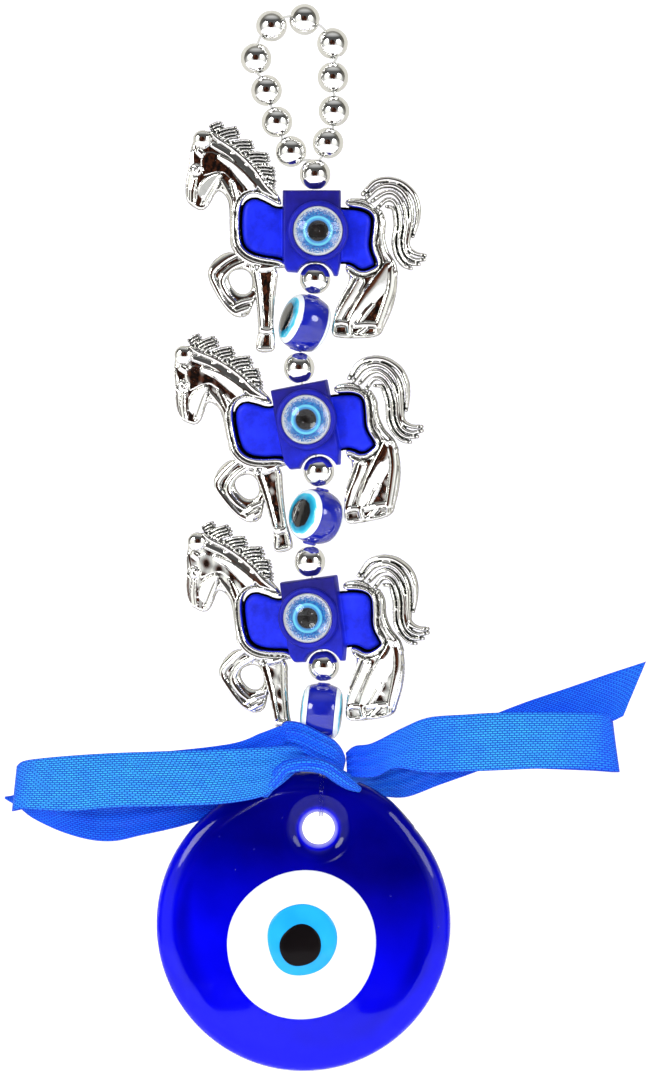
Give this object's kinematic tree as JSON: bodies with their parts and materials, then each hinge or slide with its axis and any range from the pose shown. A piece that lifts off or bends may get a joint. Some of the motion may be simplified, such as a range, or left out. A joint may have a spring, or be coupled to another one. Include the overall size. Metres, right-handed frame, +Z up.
{
  "type": "evil eye ornament",
  "caption": "Hanging charm: a loop of round mirror beads carries horse charms with eye cabochons, flat glass eye beads, a ribbon bow and a large flat glass eye disc.",
  "frame": {"origin": "where a hook or nail seats, just under the top bead inside the bead loop", "axes": "+Z up along the hanging strand, -Y is the front that the eyes face, +X to the right seen from the front"},
  "size_m": [0.1294, 0.0154, 0.2135],
  "materials": {
    "mirror_beads": "mirror-plated round beads with small scuffs",
    "clear_thread": "clear nylon monofilament",
    "chrome_casting": "chrome-plated relief casting, dark in the grooves",
    "frosted_blue": "frosted translucent deep blue resin",
    "printed_eye": "printed eye: white, speckled blue, light blue and black rings",
    "clear_dome": "clear polished resin dome",
    "bead_blue_glass": "opaque royal blue lampwork glass, fire-polished",
    "bead_eye_glass": "fused white, turquoise and black glass, fire-polished",
    "blue_ribbon": "woven satin-faced ribbon, light blue picks on deep blue",
    "deep_blue_glass": "translucent cobalt glass, fire-polished, with small bubbles",
    "white_glass": "fused opaque white glass",
    "light_blue_glass": "fused opaque light blue glass",
    "black_glass": "fused black glass"
  },
  "bodies": {
    "loop": {"loop_bead_1": "mirror_beads", "loop_bead_2": "mirror_beads", "loop_bead_3": "mirror_beads", "loop_bead_4": "mirror_beads", "loop_bead_5": "mirror_beads", "loop_bead_6": "mirror_beads", "loop_bead_7": "mirror_beads", "loop_bead_8": "mirror_beads", "loop_bead_9": "mirror_beads", "loop_bead_10": "mirror_beads", "collector_bead": "mirror_beads", "thread_loop": "clear_thread"},
    "strand_1": {"thread_strand_1": "clear_thread", "spacer_bead_1": "mirror_beads"},
    "horse_1": {"horse_1_casting": "chrome_casting", "horse_1_saddle": "frosted_blue", "horse_1_eye_print": "printed_eye", "horse_1_eye_dome": "clear_dome"},
    "link_1": {"thread_link_1": "clear_thread"},
    "eye_bead_1": {"eye_bead_1": "bead_blue_glass", "eye_bead_1_eyes": "bead_eye_glass"},
    "strand_2": {"thread_strand_2": "clear_thread", "spacer_bead_2": "mirror_beads", "spacer_bead_3": "mirror_beads"},
    "horse_2": {"horse_2_casting": "chrome_casting", "horse_2_saddle": "frosted_blue", "horse_2_eye_print": "printed_eye", "horse_2_eye_dome": "clear_dome"},
    "link_2": {"thread_link_2": "clear_thread"},
    "eye_bead_2": {"eye_bead_2": "bead_blue_glass", "eye_bead_2_eyes": "bead_eye_glass"},
    "strand_3": {"thread_strand_3": "clear_thread", "spacer_bead_4": "mirror_beads", "spacer_bead_5": "mirror_beads"},
    "horse_3": {"horse_3_casting": "chrome_casting", "horse_3_saddle": "frosted_blue", "horse_3_eye_print": "printed_eye", "horse_3_eye_dome": "clear_dome"},
    "link_3": {"thread_link_3": "clear_thread", "bow_knot": "blue_ribbon", "bow_left_loop": "blue_ribbon", "bow_right_loop": "blue_ribbon", "bow_left_tail": "blue_ribbon", "bow_right_tail": "blue_ribbon"},
    "eye_bead_3": {"eye_bead_3": "bead_blue_glass", "eye_bead_3_eyes": "bead_eye_glass"},
    "glass_loop": {"thread_glass": "clear_thread"},
    "glass": {"glass_disc": "deep_blue_glass", "glass_white": "white_glass", "glass_iris": "light_blue_glass", "glass_pupil": "black_glass"}
  },
  "joints": [
    {"name": "swing_1", "type": "hinge", "parent": "loop", "child": "strand_1", "pos_m": [0.0024, 0, -0.0302], "axis": [0, 1, 0], "range_deg": [-10, 6]},
    {"name": "spin_1", "type": "hinge", "parent": "strand_1", "child": "horse_1", "pos_m": [0.0024, 0, -0.0387], "axis": [0, 0, 1], "continuous": true},
    {"name": "fold_1", "type": "hinge", "parent": "horse_1", "child": "link_1", "pos_m": [0.0024, 0, -0.05137], "axis": [1, 0, 0], "range_deg": [-18, 18]},
    {"name": "bead_turn_1", "type": "hinge", "parent": "link_1", "child": "eye_bead_1", "pos_m": [0.00031, 0, -0.05692], "axis": [0.3206, 0, 0.9472], "range_deg": [-24, 5]},
    {"name": "swing_2", "type": "hinge", "parent": "link_1", "child": "strand_2", "pos_m": [-0.0014, 0, -0.0626], "axis": [0, 1, 0], "range_deg": [-3, 3]},
    {"name": "spin_2", "type": "hinge", "parent": "strand_2", "child": "horse_2", "pos_m": [0.00142, 0, -0.07736], "axis": [-0.1874, 0, 0.9823], "range_deg": [-40, 40]},
    {"name": "fold_2", "type": "hinge", "parent": "horse_2", "child": "link_2", "pos_m": [0.00379, 0, -0.08981], "axis": [1, 0, 0], "range_deg": [-18, 18]},
    {"name": "bead_turn_2", "type": "hinge", "parent": "link_2", "child": "eye_bead_2", "pos_m": [0.00256, 0, -0.09561], "axis": [0.2402, 0, 0.9707], "range_deg": [-24, 8]},
    {"name": "swing_3", "type": "hinge", "parent": "link_2", "child": "strand_3", "pos_m": [0.00094, 0, -0.10131], "axis": [0, 1, 0], "range_deg": [-3, 3]},
    {"name": "spin_3", "type": "hinge", "parent": "strand_3", "child": "horse_3", "pos_m": [0.00291, 0, -0.11621], "axis": [-0.1305, 0, 0.9914], "range_deg": [-40, 40]},
    {"name": "fold_3", "type": "hinge", "parent": "horse_3", "child": "link_3", "pos_m": [0.00456, 0, -0.12878], "axis": [1, 0, 0], "range_deg": [-18, 18]},
    {"name": "bead_turn_3", "type": "hinge", "parent": "link_3", "child": "eye_bead_3", "pos_m": [0.00369, 0, -0.13464], "axis": [0.0958, 0, 0.9954], "range_deg": [-20, 20]},
    {"name": "glass_turn", "type": "hinge", "parent": "link_3", "child": "glass_loop", "pos_m": [0.0033, 0, -0.147], "axis": [0, 0, 1], "range_deg": [-5, 5]},
    {"name": "glass_swing", "type": "hinge", "parent": "glass_loop", "child": "glass", "pos_m": [0.00351, 0, -0.15528], "axis": [0, 1, 0], "range_deg": [-12, 12]}
  ]
}
